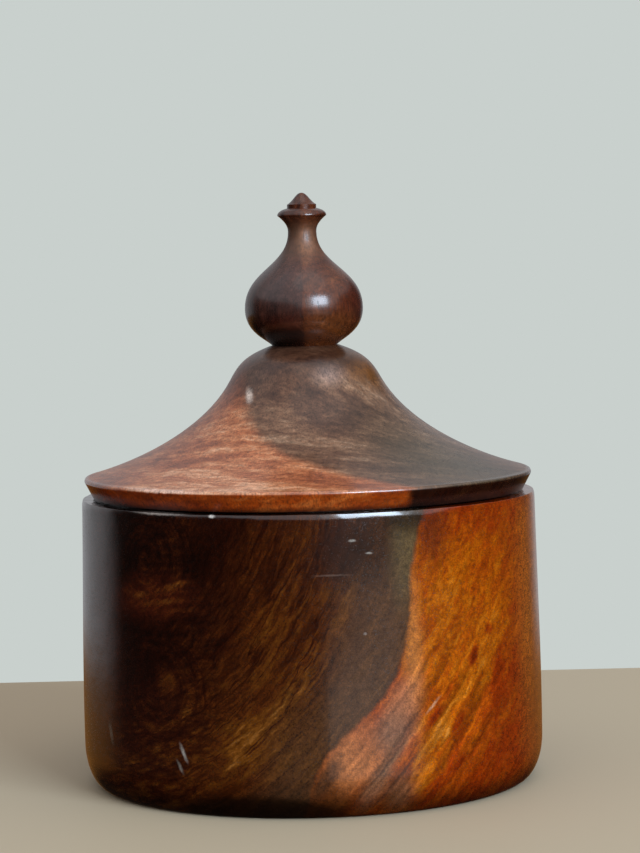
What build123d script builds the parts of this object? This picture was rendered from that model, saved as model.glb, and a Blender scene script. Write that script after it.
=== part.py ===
from build123d import *
import os
from math import cos, hypot, radians, sin, tan

# Lathe-turned round wooden box with a lift-off ogee lid and an onion finial.
# Millimetres, +Z up. The origin is the centre of the ring that the box stands on,
# and every piece is turned about the Z axis.

# ---- box body: outside ------------------------------------------------------------
BODY_HEIGHT = 74.8            # table to the top of the rim
BODY_RADIUS = 60.0            # widest, just above the rounded foot
RIM_RADIUS = 58.9             # outside of the rim: the side draws in a little
SIDE_SWELL = 0.4              # how far the side bulges beyond a straight taper
FOOT_ROUND_WIDTH = 5.3        # rounded bottom edge, measured inwards
FOOT_ROUND_HEIGHT = 11.3      # and upwards
RIM_OUTER_ROUND = 1.1         # worn outer edge of the rim
STANDING_RING_WIDTH = 12.0    # flat ring under the foot that touches the table
FOOT_HOLLOW_DEPTH = 1.2       # relief turned under the middle of the foot
FOOT_HOLLOW_ROUND = 0.8       # fillet in the corner of that relief

# ---- box body: inside -------------------------------------------------------------
RIM_WIDTH = 5.7               # top of the rim, from its outside in to the rebate
REBATE_DEPTH = 5.0            # rebate cut into the mouth: rim top down to its ledge
LEDGE_WIDTH = 2.2             # ledge in the rebate that carries the lid, down to the bore
FLOOR_THICKNESS = 8.0         # wood left between the inside and the relief underneath
BORE_CORNER_ROUND = 6.0       # fillet between floor and wall
RIM_INNER_ROUND = 0.5

# ---- lid --------------------------------------------------------------------------
LID_FIT_CLEARANCE = 0.5       # radial play between the lid's spigot and the rebate
RIM_GAP = 0.5                 # shadow line left between the rim and the lid
LIP_INSET = 0.6               # how far the lip stays inside the rim's outline
LIP_ROUND = 0.85              # radius of the lip
LIP_HEIGHT = 4.3              # underside of the lid up to the centre of the lip's rounding
LIP_BEVEL_ANGLE = 28.0        # undercut below the lip, degrees from vertical
LID_HEIGHT = 38.2             # underside of the lid up to the land under the finial
LAND_RADIUS = 8.9             # small flat on top, which the finial stands on
SHOULDER_SLOPE = 19.7         # fall of the convex shoulder where it leaves the land, degrees
TURN_RADIUS = 19.8            # where the convex shoulder turns into the concave flare
TURN_DROP = 8.9               # how far below the land that is
TURN_SLOPE = 61.0             # steepest fall of the ogee, found there, degrees
EDGE_SLOPE = 14.3             # fall of the flare where it meets the lip, degrees
SPIGOT_WALL = 6.7             # ring under the lid that drops into the rebate
SPIGOT_EDGE_ROUND = 0.6
HOLLOW_WALL_HEIGHT = 3.2      # straight part of the hollow above the spigot's end
CROWN_WALL = 7.0              # wood left between the hollow and the finial's socket

# ---- finial -----------------------------------------------------------------------
FINIAL_FOOT_RADIUS = 8.4
BULB_RADIUS = 15.4
BULB_RISE = 9.6               # land up to the widest part of the bulb
BULB_FOOT_SLOPE = 50.0        # slope of the bulb where it leaves its foot, degrees
NECK_RADIUS = 3.7
NECK_RISE = 19.9              # widest part of the bulb up to the waist of the neck
COLLAR_RADIUS = 6.4
COLLAR_RISE = 4.2             # waist of the neck up to the collar's lower edge
COLLAR_FLARE_SLOPE = 37.0     # slope of the neck where it runs out under the collar, degrees
COLLAR_THICKNESS = 0.3        # upright edge of the collar
COLLAR_EDGE_SLOPE = 70.0      # the collar's crowned top: slope at its edge, degrees
COLLAR_CROWN_SLOPE = 15.0     # and at the foot of the button
BUTTON_RADIUS = 3.8           # little stepped cone on top of the collar
BUTTON_RISE = 1.65            # collar's upper edge up to the foot of the step
BUTTON_STEP = 0.95            # height of the upright step
BUTTON_SLOPE = 30.0           # slope of the cone above the step, degrees
TIP_RISE = 3.05               # top of the step up to the tip
TENON_RADIUS = 4.5
TENON_LENGTH = 14.0
GLUE_CLEARANCE = 0.1          # radial glue film round the tenon
GLUE_WELL = 1.0               # spare depth under the end of the tenon

# ---- fullness of the turned curves --------------------------------------------------
# How firmly a curve holds its direction at its two ends, as parts of the straight
# distance between them.
SHOULDER_PULLS = (0.53, 0.34)
FLARE_PULLS = (0.36, 0.21)
HOLLOW_PULLS = (0.13, 0.29)
BULB_BELLY_PULLS = (0.18, 0.52)
BULB_SHOULDER_PULLS = (0.44, 0.38)
NECK_PULLS = (0.22, 0.6)
COLLAR_PULLS = (0.35, 0.35)
TIP_PULLS = (0.43, 0.3)

# ---- heights and radii that follow from those above -------------------------------
LEDGE_RADIUS = RIM_RADIUS - RIM_WIDTH
BORE_RADIUS = LEDGE_RADIUS - LEDGE_WIDTH
LEDGE_Z = BODY_HEIGHT - REBATE_DEPTH
FLOOR_Z = FOOT_HOLLOW_DEPTH + FLOOR_THICKNESS
STANDING_RADIUS = BODY_RADIUS - FOOT_ROUND_WIDTH
SPIGOT_RADIUS = LEDGE_RADIUS - LID_FIT_CLEARANCE
LID_RADIUS = RIM_RADIUS - LIP_INSET
LID_UNDERSIDE_Z = BODY_HEIGHT + RIM_GAP
LAND_Z = LID_UNDERSIDE_Z + LID_HEIGHT
SOCKET_DEPTH = TENON_LENGTH + GLUE_WELL
CROWN_Z = LAND_Z - SOCKET_DEPTH - CROWN_WALL
BULB_Z = LAND_Z + BULB_RISE
NECK_Z = BULB_Z + NECK_RISE
COLLAR_Z = NECK_Z + COLLAR_RISE
COLLAR_TOP_Z = COLLAR_Z + COLLAR_THICKNESS
STEP_Z = COLLAR_TOP_Z + BUTTON_RISE
STEP_TOP_Z = STEP_Z + BUTTON_STEP
TIP_Z = STEP_TOP_Z + TIP_RISE

STANDING = (Align.CENTER, Align.CENTER, Align.MIN)    # a cylinder that stands on its point


def along(point, angle, distance):
    """The point that lies a distance away, at an angle in degrees from outwards."""
    return (point[0] + distance * cos(radians(angle)), point[1] + distance * sin(radians(angle)))


def curve(start, start_angle, end, end_angle, pulls):
    """A smooth curve between two points that leaves and arrives at the given angles."""
    span = hypot(end[0] - start[0], end[1] - start[1])
    leaving = along(start, start_angle, pulls[0] * span)
    arriving = along(end, end_angle, -pulls[1] * span)
    return Bezier(start, leaving, arriving, end)


def chain(*points):
    """Straight lines from point to point."""
    return [Line(a, b) for a, b in zip(points, points[1:])]


def turned(*edges):
    """Revolve a closed half-section, drawn as (radius, height), about the lathe's axis."""
    section = make_face(Plane.XZ * Curve(edges))
    return revolve(section, Axis.Z)


def ring_edge(solid, radius, height):
    """The circular edge of a turned solid that lies nearest to a radius and a height."""
    def miss(edge):
        return hypot(edge.radius - radius, edge.arc_center.Z - height)
    return min(solid.edges().filter_by(GeomType.CIRCLE), key=miss)


def make_box_body():
    """Cup with a swelling side, a rounded foot on a standing ring and a rebated mouth."""
    side_foot = (BODY_RADIUS, FOOT_ROUND_HEIGHT)
    side_top = (RIM_RADIUS, BODY_HEIGHT)
    side_middle = ((BODY_RADIUS + RIM_RADIUS) / 2 + SIDE_SWELL, (FOOT_ROUND_HEIGHT + BODY_HEIGHT) / 2)
    hollow_radius = STANDING_RADIUS - STANDING_RING_WIDTH
    outside = turned(
        *chain((0, BODY_HEIGHT), (0, FOOT_HOLLOW_DEPTH), (hollow_radius, FOOT_HOLLOW_DEPTH),
               (hollow_radius, 0), (STANDING_RADIUS, 0)),
        EllipticalCenterArc((STANDING_RADIUS, FOOT_ROUND_HEIGHT), FOOT_ROUND_WIDTH, FOOT_ROUND_HEIGHT,
                            start_angle=270, arc_size=90),
        ThreePointArc(side_foot, side_middle, side_top),
        Line(side_top, (0, BODY_HEIGHT)),
    )
    outside = fillet(ring_edge(outside, hollow_radius, FOOT_HOLLOW_DEPTH), FOOT_HOLLOW_ROUND)

    inside = Pos(0, 0, FLOOR_Z) * Cylinder(BORE_RADIUS, BODY_HEIGHT, align=STANDING)
    inside = fillet(ring_edge(inside, BORE_RADIUS, FLOOR_Z), BORE_CORNER_ROUND)
    rebate = Pos(0, 0, LEDGE_Z) * Cylinder(LEDGE_RADIUS, BODY_HEIGHT, align=STANDING)
    body = outside - inside - rebate
    body = fillet(ring_edge(body, RIM_RADIUS, BODY_HEIGHT), RIM_OUTER_ROUND)
    return fillet(ring_edge(body, LEDGE_RADIUS, BODY_HEIGHT), RIM_INNER_ROUND)


def make_lid():
    """Ogee dome with an undercut lip, a hollow underside, a spigot and the finial's socket."""
    lip_centre = (LID_RADIUS - LIP_ROUND, LID_UNDERSIDE_Z + LIP_HEIGHT)
    lip_top = along(lip_centre, 90 - EDGE_SLOPE, LIP_ROUND)
    lip_middle = along(lip_centre, 0, LIP_ROUND)
    lip_bottom = along(lip_centre, -LIP_BEVEL_ANGLE, LIP_ROUND)
    bevel_height = lip_bottom[1] - LID_UNDERSIDE_Z
    bevel_foot = (lip_bottom[0] - bevel_height * tan(radians(LIP_BEVEL_ANGLE)), LID_UNDERSIDE_Z)
    spigot_root = (SPIGOT_RADIUS, LID_UNDERSIDE_Z)
    spigot_end = (SPIGOT_RADIUS, LEDGE_Z)
    land_edge = (LAND_RADIUS, LAND_Z)
    turn = (TURN_RADIUS, LAND_Z - TURN_DROP)
    outside = turned(
        *chain((0, LEDGE_Z), (0, LAND_Z), land_edge),
        curve(land_edge, -SHOULDER_SLOPE, turn, -TURN_SLOPE, SHOULDER_PULLS),
        curve(turn, -TURN_SLOPE, lip_top, -EDGE_SLOPE, FLARE_PULLS),
        ThreePointArc(lip_top, lip_middle, lip_bottom),
        *chain(lip_bottom, bevel_foot, spigot_root, spigot_end, (0, LEDGE_Z)),
    )

    hollow_radius = SPIGOT_RADIUS - SPIGOT_WALL
    hollow_spring = (hollow_radius, LEDGE_Z + HOLLOW_WALL_HEIGHT)
    below = LEDGE_Z - SPIGOT_EDGE_ROUND
    hollow = turned(
        *chain((0, CROWN_Z), (0, below), (hollow_radius, below), hollow_spring),
        curve(hollow_spring, 90, (0, CROWN_Z), 180, HOLLOW_PULLS),
    )
    socket_radius = TENON_RADIUS + GLUE_CLEARANCE
    socket = Pos(0, 0, LAND_Z - SOCKET_DEPTH) * Cylinder(socket_radius, SOCKET_DEPTH, align=STANDING)
    lid = outside - hollow - socket
    spigot_edges = [ring_edge(lid, SPIGOT_RADIUS, LEDGE_Z), ring_edge(lid, hollow_radius, LEDGE_Z)]
    return fillet(spigot_edges, SPIGOT_EDGE_ROUND)


def make_finial():
    """Onion bulb, waisted neck, thin collar and stepped button on a tenon, all one turning."""
    foot = (FINIAL_FOOT_RADIUS, LAND_Z)
    bulb = (BULB_RADIUS, BULB_Z)
    neck = (NECK_RADIUS, NECK_Z)
    collar = (COLLAR_RADIUS, COLLAR_Z)
    collar_top = (COLLAR_RADIUS, COLLAR_TOP_Z)
    step_foot = (BUTTON_RADIUS, STEP_Z)
    step_top = (BUTTON_RADIUS, STEP_TOP_Z)
    tip = (0, TIP_Z)
    tenon_end_z = LAND_Z - TENON_LENGTH
    return turned(
        *chain(tip, (0, tenon_end_z), (TENON_RADIUS, tenon_end_z), (TENON_RADIUS, LAND_Z), foot),
        curve(foot, BULB_FOOT_SLOPE, bulb, 90, BULB_BELLY_PULLS),
        curve(bulb, 90, neck, 90, BULB_SHOULDER_PULLS),
        curve(neck, 90, collar, COLLAR_FLARE_SLOPE, NECK_PULLS),
        Line(collar, collar_top),
        curve(collar_top, 180 - COLLAR_EDGE_SLOPE, step_foot, 180 - COLLAR_CROWN_SLOPE, COLLAR_PULLS),
        Line(step_foot, step_top),
        curve(step_top, 180 - BUTTON_SLOPE, tip, 180, TIP_PULLS),
    )


PIECES = {
    "box_body": make_box_body,
    "lid": make_lid,
    "finial": make_finial,
}

os.makedirs("parts", exist_ok=True)
for node, make in PIECES.items():
    piece = make()
    piece.label = node
    export_step(piece, f"parts/{node}.step")
    size = piece.bounding_box().size
    print(f"{node}: {piece.volume / 1000:.1f} cm3, {size.X:.1f} x {size.Y:.1f} x {size.Z:.1f} mm")
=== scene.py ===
# %% [markdown]
# # A turned wooden box with a lift-off lid
# The real thing is three pieces of one streaky two-tone rosewood, the kind sold as cocobolo: a box,
# an ogee lid and an onion finial. Each was cut on a lathe, sanded, oiled and waxed.
# This lesson turns the same three half sections with Geometry Nodes, then gives each piece its own
# figure: the dark heartwood, the orange outer wood and the streaks between them.

from math import cos, hypot, pi, radians, sin, sqrt, tan

import bpy
from mathutils import Matrix, Vector


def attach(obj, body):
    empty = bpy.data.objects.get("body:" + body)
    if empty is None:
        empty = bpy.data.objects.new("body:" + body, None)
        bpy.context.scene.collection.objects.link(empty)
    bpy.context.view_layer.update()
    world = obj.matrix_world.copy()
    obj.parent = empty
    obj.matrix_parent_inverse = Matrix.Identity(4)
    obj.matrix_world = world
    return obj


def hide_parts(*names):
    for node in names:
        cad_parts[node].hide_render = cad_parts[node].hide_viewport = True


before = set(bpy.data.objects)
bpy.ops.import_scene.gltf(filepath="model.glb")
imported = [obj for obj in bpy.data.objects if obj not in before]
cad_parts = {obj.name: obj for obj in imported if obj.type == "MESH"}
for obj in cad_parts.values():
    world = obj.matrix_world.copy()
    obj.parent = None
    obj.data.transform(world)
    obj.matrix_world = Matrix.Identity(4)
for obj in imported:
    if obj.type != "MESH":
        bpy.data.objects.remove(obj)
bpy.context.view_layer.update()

# %% [markdown]
# ## Two small helpers
# Everything procedural here is a tree of nodes, so one function that adds a node, sets it up and
# links it saves most of the typing. Colours are picked as sRGB hex values, as on a colour card,
# but the shaders work in linear light, so a second function converts them.

# %% Add a node, and read a colour
def add(tree, kind, inputs=None, stops=None, points=None, **settings):
    """A new node. Inputs take a value, a socket or a node; a key is a socket's name or its number."""
    node = tree.nodes.new(kind)
    for name, value in settings.items():
        setattr(node, name, value)
    for key, value in (inputs or {}).items():
        socket = node.inputs[key] if isinstance(key, int) else next(
            s for s in node.inputs if s.name == key and s.enabled)
        if isinstance(value, bpy.types.Node):
            value = next(s for s in value.outputs if s.enabled)
        if isinstance(value, bpy.types.NodeSocket):
            tree.links.new(value, socket)
        else:
            socket.default_value = value
    for place, colour in stops or []:
        elements = node.color_ramp.elements
        stop = elements[-int(place)] if place in (0, 1) else elements.new(place)
        stop.color = colour
    for x, y in points or []:
        knots = node.mapping.curves[0].points
        knot = knots[-int(x)] if x in (0, 1) else knots.new(x, y)
        knot.location = (x, y)
    return node


def linear(code):
    """A colour written as sRGB hex, in the linear light that shaders use."""
    shares = [int(code[i:i + 2], 16) / 255 for i in (1, 3, 5)]
    return [s / 12.92 if s <= 0.04045 else ((s + 0.055) / 1.055) ** 2.4 for s in shares] + [1]


print("mid grey, #808080, in linear light:", round(linear("#808080")[0], 3))

# %% [markdown]
# ## The camera
# It stands 74 cm from the middle of the box, level with the neck of the finial, and looks down by
# less than 4 degrees. A long lens keeps the sides of the box nearly parallel. The horizon leans by
# about a degree, as it does when a camera is held by hand.

# %% Camera
CAMERA_PLACE = (0, -0.740, 0.14208)
CAMERA_PITCH, CAMERA_YAW, CAMERA_ROLL = 3.863, 0.27, 1.31
SENSOR = 36  # mm, along the long side of the picture
FOCAL_PIXELS, LONG_SIDE = 2837, 853

camera = bpy.data.objects.new("camera", bpy.data.cameras.new("camera"))
camera.data.sensor_width = SENSOR
camera.data.lens = SENSOR * FOCAL_PIXELS / LONG_SIDE
camera.data.clip_start, camera.data.clip_end = 0.01, 20
camera.matrix_world = (
    Matrix.Translation(CAMERA_PLACE)
    @ Matrix.Rotation(radians(-CAMERA_YAW), 4, "Z")
    @ Matrix.Rotation(radians(90 - CAMERA_PITCH), 4, "X")
    @ Matrix.Rotation(radians(-CAMERA_ROLL), 4, "Z")
)
bpy.context.scene.collection.objects.link(camera)
bpy.context.scene.camera = camera
print(f"lens {camera.data.lens:.1f} mm")

# %% [markdown]
# ## The half section
# A turner works from half of the outline, because the lathe makes the rest. Here that outline is a
# Bezier curve in the plane of radius and height. Straight cuts get vector handles, which Blender
# draws with no points in between, and hollows and beads get free handles. Each curve says which
# way the tool heads as it leaves and arrives, in degrees from straight outwards, and how firmly it
# holds that heading, as a part of the distance between its ends.

# %% Draw a half section
CURVE_STEPS = 24  # how many straight steps Blender makes of each curve


def along(point, heading, distance):
    """The point that lies a distance away, at a heading in degrees."""
    return (point[0] + distance * cos(radians(heading)), point[1] + distance * sin(radians(heading)))


def round_pulls(turn=90, width=1, height=1):
    """The pulls with which a curve draws an arc that turns so far, or a quarter of an oval.

    A Bezier curve comes closest to a circle when its handles are 4/3 tan(turn / 4) radii long.
    """
    reach = 4 / 3 * tan(radians(turn) / 4)
    chord = 2 * sin(radians(turn) / 2) * hypot(width, height) / sqrt(2)
    return (reach * width / chord, reach * height / chord)


def half_section(name, start, cuts):
    """A Bezier curve from cuts in mm: a point to go straight to, or (point, leaving, arriving, pulls)."""
    line = bpy.data.curves.new(name, "CURVE")
    line.dimensions, line.resolution_u = "3D", CURVE_STEPS
    spline = line.splines.new("BEZIER")
    spline.bezier_points.add(len(cuts))
    places = [start] + [cut[0] if len(cut) == 4 else cut for cut in cuts]
    for knot, (radius, height) in zip(spline.bezier_points, places):
        knot.co = (radius / 1000, 0, height / 1000)
        knot.handle_left_type = knot.handle_right_type = "VECTOR"
    for i, cut in enumerate(cuts):
        if len(cut) == 4:
            end, leaving, arriving, pulls = cut
            span = hypot(end[0] - places[i][0], end[1] - places[i][1])
            first, last = spline.bezier_points[i], spline.bezier_points[i + 1]
            first.handle_right_type = last.handle_left_type = "FREE"
            radius, height = along(places[i], leaving, pulls[0] * span)
            first.handle_right = (radius / 1000, 0, height / 1000)
            radius, height = along(end, arriving, -pulls[1] * span)
            last.handle_left = (radius / 1000, 0, height / 1000)
    host = bpy.data.objects.new(name, line)
    bpy.context.scene.collection.objects.link(host)
    return host


print("pulls of a quarter circle:", [round(pull, 3) for pull in round_pulls()])

# %% [markdown]
# ## The lathe
# A Screw modifier or the Spin tool would also turn a profile. Geometry Nodes are used instead, so
# that the number of facets, the worn edge and its depth stay named inputs of one tree that all
# three pieces share.
# The tree lays out a flat grid with a row for each point of the half section and a column for each
# spoke, moves every point of the grid to its row's place, and swings it round by its column's
# angle. Merging by distance closes the seam and the poles. Each point also remembers how far along
# the half section it lies, because the tool left its rings at even steps of that path.

# %% Lathe: its inputs, and the turned skin
MERGE_REACH = 0.000002  # m: far less than the distance between two points of the grid

lathe = bpy.data.node_groups.new("turn_on_a_lathe", "GeometryNodeTree")
for title, kind in [
    ("Half section", "NodeSocketGeometry"), ("Spokes", "NodeSocketInt"),
    ("Worn edge height", "NodeSocketFloat"), ("Worn edge reach", "NodeSocketFloat"),
    ("Wear depth", "NodeSocketFloat"), ("Wear seed", "NodeSocketFloat"), ("Wood", "NodeSocketMaterial"),
]:
    lathe.interface.new_socket(title, in_out="INPUT", socket_type=kind)
lathe.interface.new_socket("Turned piece", in_out="OUTPUT", socket_type="NodeSocketGeometry")
given = add(lathe, "NodeGroupInput").outputs
position = add(lathe, "GeometryNodeInputPosition")

outline = add(lathe, "GeometryNodeResampleCurve", {"Curve": given["Half section"]}, mode="EVALUATED")
outline_size = add(lathe, "GeometryNodeAttributeDomainSize", {"Geometry": outline}, component="CURVE")
rows = outline_size.outputs["Point Count"]
columns = add(lathe, "FunctionNodeIntegerMath", {0: given["Spokes"], 1: 1}, operation="ADD")
sheet = add(lathe, "GeometryNodeMeshGrid", {"Vertices X": rows, "Vertices Y": columns}).outputs["Mesh"]
index = add(lathe, "GeometryNodeInputIndex")
row = add(lathe, "FunctionNodeIntegerMath", {0: index, 1: columns}, operation="DIVIDE_FLOOR")
column = add(lathe, "FunctionNodeIntegerMath", {0: index, 1: columns}, operation="MODULO")
on_outline = add(lathe, "GeometryNodeSampleIndex", {
    "Geometry": outline, "Value": position, "Index": row}, data_type="FLOAT_VECTOR")
path_length = add(lathe, "GeometryNodeSampleIndex", {
    "Geometry": outline, "Value": add(lathe, "GeometryNodeSplineParameter").outputs["Length"], "Index": row,
}, data_type="FLOAT")
spoke = add(lathe, "ShaderNodeMath", {0: column, 1: given["Spokes"]}, operation="DIVIDE")
angle = add(lathe, "ShaderNodeMath", {0: spoke, 1: -2 * pi}, operation="MULTIPLY")
swung = add(lathe, "ShaderNodeVectorRotate", {"Vector": on_outline, "Angle": angle}, rotation_type="Z_AXIS")
turned = add(lathe, "GeometryNodeSetPosition", {"Geometry": sheet, "Position": swung})
marked = add(lathe, "GeometryNodeStoreNamedAttribute", {
    "Geometry": turned, "Name": "tool_path", "Value": path_length}, data_type="FLOAT", domain="POINT")
closed = add(lathe, "GeometryNodeMergeByDistance", {"Geometry": marked, "Distance": MERGE_REACH})
print("skin:", len(lathe.nodes), "nodes")

# %% [markdown]
# Years of handling wear the edges of a box. So noise in patches of about 6 mm eats a little into
# each piece, most at the height of its worn edge and less away from it. It only ever eats inwards,
# so no piece grows past the size that its half section gives.

# %% Lathe: the worn edge
WEAR_PATCH = 0.00625  # m

z_now = add(lathe, "ShaderNodeSeparateXYZ", {0: position}).outputs["Z"]
from_edge = add(lathe, "ShaderNodeMath", {0: z_now, 1: given["Worn edge height"]}, operation="SUBTRACT")
near_edge = add(lathe, "ShaderNodeMapRange", {
    "Value": add(lathe, "ShaderNodeMath", {0: from_edge}, operation="ABSOLUTE"),
    "From Min": 0.0, "From Max": given["Worn edge reach"], "To Min": 1.0, "To Max": 0.0,
}, interpolation_type="SMOOTHSTEP")
rubbing = add(lathe, "ShaderNodeTexNoise", {
    "Vector": position, "W": given["Wear seed"], "Scale": 1 / WEAR_PATCH, "Detail": 3.0,
}, noise_dimensions="4D").outputs["Fac"]
bitten = add(lathe, "ShaderNodeMapRange", {
    "Value": rubbing, "From Min": 0.42, "From Max": 0.75, "To Min": 0.0, "To Max": 1.0})
bite = add(lathe, "ShaderNodeMath", {0: bitten, 1: near_edge}, operation="MULTIPLY")
bite_depth = add(lathe, "ShaderNodeMath", {0: bite, 1: given["Wear depth"]}, operation="MULTIPLY")
inwards = add(lathe, "ShaderNodeMath", {0: bite_depth, 1: -1.0}, operation="MULTIPLY")
eaten = add(lathe, "ShaderNodeVectorMath", {
    0: add(lathe, "GeometryNodeInputNormal"), "Scale": inwards}, operation="SCALE")
worn = add(lathe, "GeometryNodeSetPosition", {"Geometry": closed, "Offset": eaten})
print("skin and wear:", len(lathe.nodes), "nodes")

# %% [markdown]
# Gentle bends are shaded smooth, and cuts that meet at a corner stay crisp. The tree ends with the
# piece's material.

# %% Lathe: corners and material
CORNER_ANGLE = 32  # degrees

corner = add(lathe, "FunctionNodeCompare", {
    0: add(lathe, "GeometryNodeInputMeshEdgeAngle").outputs["Unsigned Angle"], 1: radians(CORNER_ANGLE),
}, data_type="FLOAT", operation="GREATER_THAN")
smooth = add(lathe, "GeometryNodeSetShadeSmooth", {"Geometry": worn, "Shade Smooth": True}, domain="FACE")
crisp = add(lathe, "GeometryNodeSetShadeSmooth", {
    "Geometry": smooth, "Selection": corner, "Shade Smooth": False}, domain="EDGE")
solid = add(lathe, "GeometryNodeRealizeInstances", {"Geometry": crisp})
painted = add(lathe, "GeometryNodeSetMaterial", {"Geometry": solid, "Material": given["Wood"]})
add(lathe, "NodeGroupOutput", {0: painted})
print("whole lathe:", len(lathe.nodes), "nodes")

# %% [markdown]
# A piece is made in four steps: draw its half section, hang the lathe tree on it as a modifier, set
# the tree's inputs, and keep the result as a plain mesh. The volume is printed as a check: it comes
# out positive when the faces point outwards, and as large as the real piece's when the skin is closed.

# %% Turn a piece
def turn_piece(name, section, wood, spokes, worn_at, worn_reach, wear, seed):
    """The piece that the lathe tree makes of a half section. Sizes in mm."""
    modifier = section.modifiers.new("lathe", "NODES")
    modifier.node_group = lathe
    settings = {
        "Spokes": spokes, "Worn edge height": worn_at / 1000, "Worn edge reach": worn_reach / 1000,
        "Wear depth": wear / 1000, "Wear seed": float(seed), "Wood": wood,
    }
    for item in lathe.interface.items_tree:
        if item.name in settings:
            modifier[item.identifier] = settings[item.name]
    depsgraph = bpy.context.evaluated_depsgraph_get()
    mesh = bpy.data.meshes.new_from_object(section.evaluated_get(depsgraph))
    section.modifiers.remove(modifier)
    bpy.data.objects.remove(section)
    mesh.name = name
    piece = bpy.data.objects.new(name, mesh)
    bpy.context.scene.collection.objects.link(piece)
    mesh.calc_loop_triangles()
    corners = [v.co for v in mesh.vertices]
    triangles = [[corners[i] for i in triangle.vertices] for triangle in mesh.loop_triangles]
    volume = sum(a.dot(b.cross(c)) for a, b, c in triangles) / 6
    print(f"{name}: {len(triangles)} triangles, {volume * 1e6:.1f} cm3, "
          f"{max(v.x for v in corners) * 2000:.2f} mm across")
    return piece


# %% [markdown]
# ## Wood as a solid
# Turned wood is cut through a block, so its figure runs through the piece and out of the other
# side. A picture wrapped round the box would break at a seam. So the colour is worked out for each
# point of the block, in millimetres from the middle of the foot.
# Two things recur in all three pieces: a patch with a soft ragged edge, such as a streak, a knot or
# a nick, and the noise that makes its edge ragged. Both are functions that add their nodes to a
# piece's own tree. A patch can be a colour, or a tone: a number that a colour ramp reads later.

# %% Patches
def millimetres(tree):
    """Where each point of the wood is, in millimetres from the middle of the foot."""
    where = add(tree, "ShaderNodeTexCoord").outputs["Object"]
    return add(tree, "ShaderNodeMapping", {
        "Vector": where, "Scale": (1000, 1000, 1000)}, vector_type="POINT")


def warp(tree, place, size, reach):
    """The same place, pushed about by noise of that size in mm, as far as the reach."""
    push = add(tree, "ShaderNodeTexNoise", {
        "Vector": place, "Scale": 1 / size, "Detail": 3.0}).outputs["Color"]
    centred = add(tree, "ShaderNodeVectorMath", {
        0: push, 1: [2 * reach] * 3, 2: [-reach] * 3}, operation="MULTIPLY_ADD")
    return add(tree, "ShaderNodeVectorMath", {0: place, 1: centred}, operation="ADD")


def patches(tree, place, below, spots):
    """Lays soft ovals over what is below: (colour or tone, centre, radii, turn, strength, edge)."""
    for above, centre, radii, turn, strength, edge in spots:
        local = add(tree, "ShaderNodeMapping", {
            "Vector": place, "Location": centre, "Rotation": [radians(t) for t in turn], "Scale": radii,
        }, vector_type="TEXTURE")
        reach = add(tree, "ShaderNodeVectorMath", {0: local}, operation="LENGTH").outputs["Value"]
        mask = add(tree, "ShaderNodeMapRange", {
            "Value": reach, "From Min": 1 - edge, "From Max": 1 + edge, "To Min": strength, "To Max": 0.0,
        }, interpolation_type="SMOOTHSTEP")
        is_colour = isinstance(above, str)
        below = add(tree, "ShaderNodeMix", {
            "Factor": mask, "A": below, "B": linear(above) if is_colour else above,
        }, data_type="RGBA" if is_colour else "FLOAT")
    return below


# %% [markdown]
# ## The growth rings
# Every streak follows the tree's rings, so each piece first needs to know where the pith was. A
# Mapping node moves and tilts the block until the pith is its own Y axis. The distance from it and
# the way round it are then the two directions of the figure, and the way along it is the fibre.
# The streaks are noise that is drawn out round the rings and along the fibre. The noise is read in
# four dimensions, because an angle as a coordinate would leave a seam where it jumps from +180 to
# -180 degrees. Each layer of streaks swings the tone up and down in proportion, so that dark wood
# keeps as much life as light wood.

# %% Rings and streaks
def find_rings(tree, place, pith, tilt, radius):
    """The way round the pith in mm at that radius, how far out from it, and how far along the fibre."""
    block = add(tree, "ShaderNodeMapping", {
        "Vector": place, "Location": pith, "Rotation": [radians(t) for t in tilt]}, vector_type="TEXTURE")
    flat = add(tree, "ShaderNodeVectorMath", {0: block, 1: (1, 0, 1)}, operation="MULTIPLY")
    way = add(tree, "ShaderNodeVectorMath", {0: flat}, operation="NORMALIZE")
    round_it = add(tree, "ShaderNodeVectorMath", {0: way, "Scale": radius}, operation="SCALE")
    out = add(tree, "ShaderNodeVectorMath", {0: flat}, operation="LENGTH").outputs["Value"]
    fibre = add(tree, "ShaderNodeSeparateXYZ", {0: block}).outputs["Y"]
    return round_it, out, fibre


def streaks(tree, rings, across, length, deep, detail=3.0):
    """Noise drawn out into streaks: how wide, how long round the rings and how long along the fibre."""
    round_it, out, fibre = rings
    layer = add(tree, "ShaderNodeMath", {0: out, 1: across}, operation="DIVIDE")
    drawn = add(tree, "ShaderNodeVectorMath", {
        0: add(tree, "ShaderNodeVectorMath", {0: round_it, "Scale": 1 / length}, operation="SCALE"),
        1: add(tree, "ShaderNodeCombineXYZ", {"Y": layer})}, operation="ADD")
    along_fibre = add(tree, "ShaderNodeMath", {0: fibre, 1: deep}, operation="DIVIDE")
    return add(tree, "ShaderNodeTexNoise", {
        "Vector": drawn, "W": along_fibre, "Scale": 1.0, "Detail": detail, "Roughness": 0.6,
    }, noise_dimensions="4D").outputs["Fac"]


def swing(tree, tone, noise, by):
    """The tone, swung up and down in proportion by a noise that runs from 0 to 1."""
    factor = add(tree, "ShaderNodeMath", {0: noise, 1: by, 2: 1 - by / 2}, operation="MULTIPLY_ADD")
    return add(tree, "ShaderNodeMath", {0: tone, 1: factor}, operation="MULTIPLY")


def veins(tree, noise, width, depth):
    """A factor that falls to 1 - depth on thin lines, where the noise crosses its middle."""
    apart = add(tree, "ShaderNodeMath", {0: noise, 1: 0.5}, operation="SUBTRACT")
    near = add(tree, "ShaderNodeMath", {0: apart}, operation="ABSOLUTE")
    return add(tree, "ShaderNodeMapRange", {
        "Value": near, "From Min": 0.0, "From Max": width, "To Min": 1 - depth, "To Max": 1.0,
    }, interpolation_type="SMOOTHSTEP").outputs["Result"]


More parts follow.
